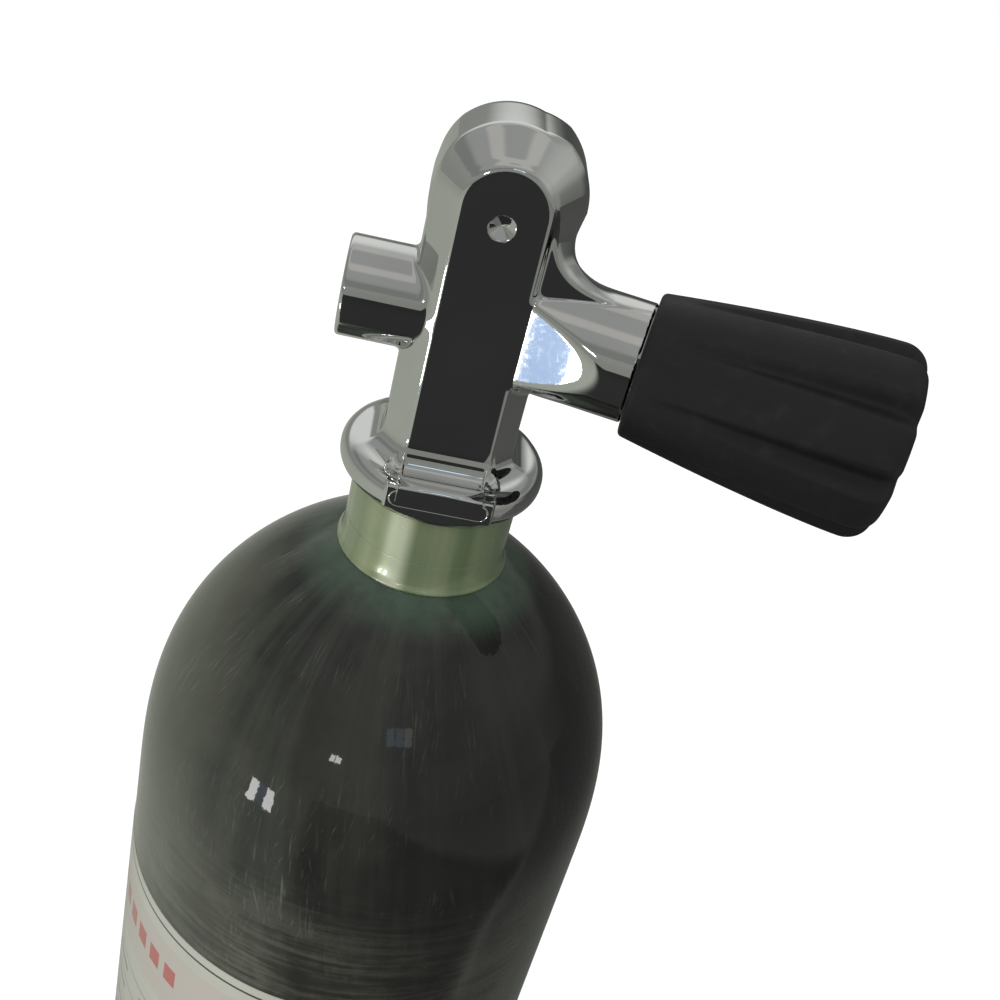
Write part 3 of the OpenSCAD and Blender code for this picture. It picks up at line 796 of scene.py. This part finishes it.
# ---------------------------------------------------------------- small visible parts
def build_plate():
    """Dark sunk plate on the collar's rear facet, with a bright raised rim."""
    half_w, half_h, centre_z = 10.5, 2.1, 0.55

    def stadium(grow, y, n=24):
        pts = []
        for side, a0 in ((1, -90), (-1, 90)):
            for t in np.radians(np.linspace(a0, a0 + 180, n)):
                r = half_h + grow
                pts.append((side * (half_w - half_h) + r * math.cos(t), y, centre_z + r * math.sin(t)))
        return pts

    loops = [stadium(0.0, FACET_Y + 0.3), stadium(0.0, FACET_Y - 0.06), stadium(-0.25, FACET_Y - 0.16),
             stadium(-0.5, FACET_Y - 0.02), stadium(-0.6, FACET_Y - 0.02)]
    n = len(loops[0])
    pts = np.array([p for loop in loops for p in loop])
    pts[:, 2] += COLLAR_Z
    back = list(range(n))[::-1]
    front = [(len(loops) - 1) * n + j for j in range(n)]
    faces = grid_faces(len(loops), n) + [back, front]
    rim = new_mesh("collar_plate", pts * MM, faces)
    sharpen(rim, 40)
    return rim


plate = build_plate()
PLATE, plate_tree, plate_shader = material("dark_plate")
plate_noise = noise(plate_tree, coords(plate_tree), 500, 4)
plate_color = mix_color(plate_tree, plate_noise, (0.012, 0.012, 0.012), (0.03, 0.03, 0.03))
plate_tree.links.new(plate_color, plate_shader.inputs["Base Color"])
plate_shader.inputs["Roughness"].default_value = 0.3
bump(plate_tree, plate_shader, plate_noise, 0.1, 0.0001)
plate.data.materials.append(CHROME)
plate.data.materials.append(PLATE)
plate.data.polygons[-1].material_index = 1
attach(plate, "cylinder")


def build_thread():
    """Helical ridge on the wall of the outlet's bore."""
    turns, per = 7, 72
    root, crest = BORE_R - 0.02, BORE_R - 1.0
    section = [(root, -0.8), (crest, -0.15), (crest, 0.15), (root, 0.8)]
    pts = []
    for i in range(turns * per + 1):
        a = 2 * math.pi * i / per
        y = 1.0 + THREAD_PITCH * i / per
        fade = min(1.0, i / 20, (turns * per - i) / 20)
        for r, dy in section:
            rr = root - (root - r) * fade
            pts.append((rr * math.cos(a), y + dy * max(fade, 0.05), COLLAR_Z + OUTLET_Z + rr * math.sin(a)))
    rows = turns * per + 1
    faces = grid_faces(rows, 4, flip=True) + [[0, 1, 2, 3], [(rows - 1) * 4 + k for k in (3, 2, 1, 0)]]
    obj = new_mesh("outlet_thread", np.array(pts) * MM, faces, smooth=True)
    sharpen(obj, 30)
    return obj


thread = build_thread()
dress(thread, SATIN)
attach(thread, "cylinder")


# ---------------------------------------------------------------- stage
def build_floor():
    h = 7.0
    corners = [(-h, -h, 0), (h, -h, 0), (h, h, 0), (-h, h, 0)]
    obj = new_mesh("studio_floor", corners, [(0, 1, 2, 3)], smooth=False)
    return obj


floor = build_floor()
HEAD = Vector((0, 0, (COLLAR_Z + 40) * MM))


def towards(azimuth, elevation, distance, origin=HEAD):
    """Point at a distance; azimuth 0 is -Y and 90 is +X."""
    a, e = math.radians(azimuth), math.radians(elevation)
    return origin + distance * Vector((math.sin(a) * math.cos(e), -math.cos(a) * math.cos(e), math.sin(e)))


def area(name, azimuth, elevation, distance, width, height, power, color=(1, 1, 1), origin=HEAD):
    data = bpy.data.lights.new(name, "AREA")
    data.shape = "RECTANGLE"
    data.size, data.size_y = width, height
    data.energy = power
    data.color = color
    obj = bpy.data.objects.new(name, data)
    obj.location = towards(azimuth, elevation, distance, origin)
    obj.rotation_euler = (Vector(obj.location) - origin).to_track_quat("Z", "Y").to_euler()
    scene.collection.objects.link(obj)
    return obj


def studio_world():
    """White to the eye and to soft light; a dim, banded room to glossy reflections."""
    low_wall, high_wall, shade = (0.25, 0.26, 0.235), (0.32, 0.325, 0.32), (0.21, 0.215, 0.205)
    right_wall, far_foot, far_wall = (0.46, 0.47, 0.44), (0.07, 0.075, 0.068), (0.72, 0.73, 0.71)
    ceiling_lamp = (0.46, 0.45, 0.43)
    world = bpy.data.worlds.new("studio")
    world.use_nodes = True
    t = world.node_tree
    back = t.nodes["Background"]
    path = t.nodes.new("ShaderNodeLightPath")
    x, y, z = xyz(t, t.nodes.new("ShaderNodeTexCoord").outputs["Generated"])
    room = mix_color(t, ramp(t, z, -0.05, 0.8), low_wall, high_wall)
    belt = math_node(t, "MULTIPLY", ramp(t, z, 0.30, 0.36), ramp(t, z, 0.62, 0.5))
    room = mix_color(t, belt, room, shade)
    side = math_node(t, "MULTIPLY", ramp(t, x, 0.45, 0.95), ramp(t, y, 0.35, 0.1))
    room = mix_color(t, math_node(t, "MULTIPLY", side, ramp(t, z, 0.15, 0.5)), room, right_wall)
    behind = math_node(t, "MULTIPLY", ramp(t, y, -0.1, 0.35), ramp(t, x, -0.2, 0.2))
    room = mix_color(t, math_node(t, "MULTIPLY", behind, ramp(t, z, 0.28, 0.12)), room, far_foot)
    above = math_node(t, "MULTIPLY", ramp(t, y, 0.4, 0.8), ramp(t, z, 0.2, 0.34))
    room = mix_color(t, math_node(t, "MULTIPLY", above, ramp(t, x, 0.5, 0.25)), room, far_wall)
    lamp = math_node(t, "MULTIPLY", ramp(t, z, 0.80, 0.86), ramp(t, z, 0.97, 0.93))
    room = mix_color(t, lamp, room, ceiling_lamp)
    color = mix_color(t, path.outputs["Is Glossy Ray"], (1.04, 1.04, 1.04), room)
    t.links.new(color, back.inputs[0])
    back.inputs[1].default_value = 1.0
    scene.world = world


def floor_look(obj):
    """Pale floor that glossy reflections see as a dimmer one, darkest in front."""
    seen, left_dim, right_dim = (0.94, 0.94, 0.94), (0.30, 0.315, 0.275), (0.19, 0.195, 0.18)
    near_black = (0.024, 0.024, 0.024)
    mat, t, s = material("pale_floor")
    path = t.nodes.new("ShaderNodeLightPath")
    x, y, _ = xyz(t, t.nodes.new("ShaderNodeNewGeometry").outputs["Position"])
    front = ramp(t, y, -0.06, -0.16)
    slant = math_node(t, "MULTIPLY_ADD", y, -0.45, x)
    span = math_node(t, "MULTIPLY", ramp(t, slant, -0.10, 0.06), ramp(t, x, 0.74, 0.54))
    dim = mix_color(t, ramp(t, x, 0.3, 0.6), left_dim, right_dim)
    beyond = math_node(t, "MULTIPLY", ramp(t, y, -0.16, -0.06), ramp(t, x, -0.06, 0.10))
    zone = math_node(t, "MULTIPLY", front, span)
    dark = math_node(t, "MAXIMUM", zone, math_node(t, "MULTIPLY", beyond, 0.7))
    dim = mix_color(t, dark, dim, near_black)
    color = mix_color(t, path.outputs["Is Glossy Ray"], seen, dim)
    t.links.new(color, s.inputs["Base Color"])
    s.inputs["Roughness"].default_value = 0.9
    s.inputs["Specular IOR Level"].default_value = 0.0
    dress(obj, mat)


def window(name, point, azimuth, elevation, distance, width, height, radiance, panes, bar=0.12):
    """Upright panes, with bars between them, that the surface at a point mirrors."""
    origin = Vector(point) * MM
    pitch = width / len(panes)
    size = pitch * (1 - bar)
    a = math.radians(azimuth)
    across = Vector((math.cos(a), math.sin(a), 0))
    for k, color in enumerate(panes):
        power = radiance * math.pi * size * height
        light = area(f"{name}_{k}", azimuth, elevation, distance, size, height, power, color, origin)
        light.location += across * pitch * (k - (len(panes) - 1) / 2)
        light.visible_camera = False


PALE, BLUE, DIM_BLUE = (1.0, 1.0, 1.0), (0.55, 0.75, 1.0), (0.012, 0.024, 0.055)
studio_world()
floor_look(floor)
soft = area("soft_top", -30, 62, 2.2, 1.6, 1.6, 18)
soft.visible_glossy = False
soft.visible_camera = False
boss_flank = (14, -13.7, COLLAR_Z + 36.5)
window("near_window", boss_flank, -47.6, -25.6, 0.40, 0.074, 0.058, 12, (PALE, DIM_BLUE, PALE), 0.02)
shoulder_left = (-10.6, -45.8, COLLAR_Z - 49.3)
window("lamp_window", shoulder_left, -21, 17, 1.2, 0.12, 0.07, 12, (PALE, PALE))
shoulder_mid = (1.8, -42.5, COLLAR_Z - 43.2)
window("faint_window", shoulder_mid, 9, 32, 1.2, 0.26, 0.15, 1.0, (BLUE, BLUE, PALE))

# ---------------------------------------------------------------- camera
CAMERA_AT = (-0.0186, -0.2398, (COLLAR_Z + 150.2) * MM)
pitch, turn, roll = math.radians(33.15), math.radians(7.9), math.radians(15.4)
ahead = Vector((math.sin(turn) * math.cos(pitch), math.cos(turn) * math.cos(pitch), -math.sin(pitch)))
side = Vector((math.cos(turn), -math.sin(turn), 0))
above = side.cross(ahead)
cam_x = math.cos(roll) * side + math.sin(roll) * above
cam_y = -math.sin(roll) * side + math.cos(roll) * above
camera_data = bpy.data.cameras.new("camera")
camera_data.lens = 46.8
camera_data.sensor_width = 36
camera_data.clip_start = 0.01
camera = bpy.data.objects.new("camera", camera_data)
camera.matrix_world = Matrix((
    (cam_x.x, cam_y.x, -ahead.x, CAMERA_AT[0]),
    (cam_x.y, cam_y.y, -ahead.y, CAMERA_AT[1]),
    (cam_x.z, cam_y.z, -ahead.z, CAMERA_AT[2]),
    (0, 0, 0, 1),
))
scene.collection.objects.link(camera)
scene.camera = camera
scene.view_settings.view_transform = "Standard"
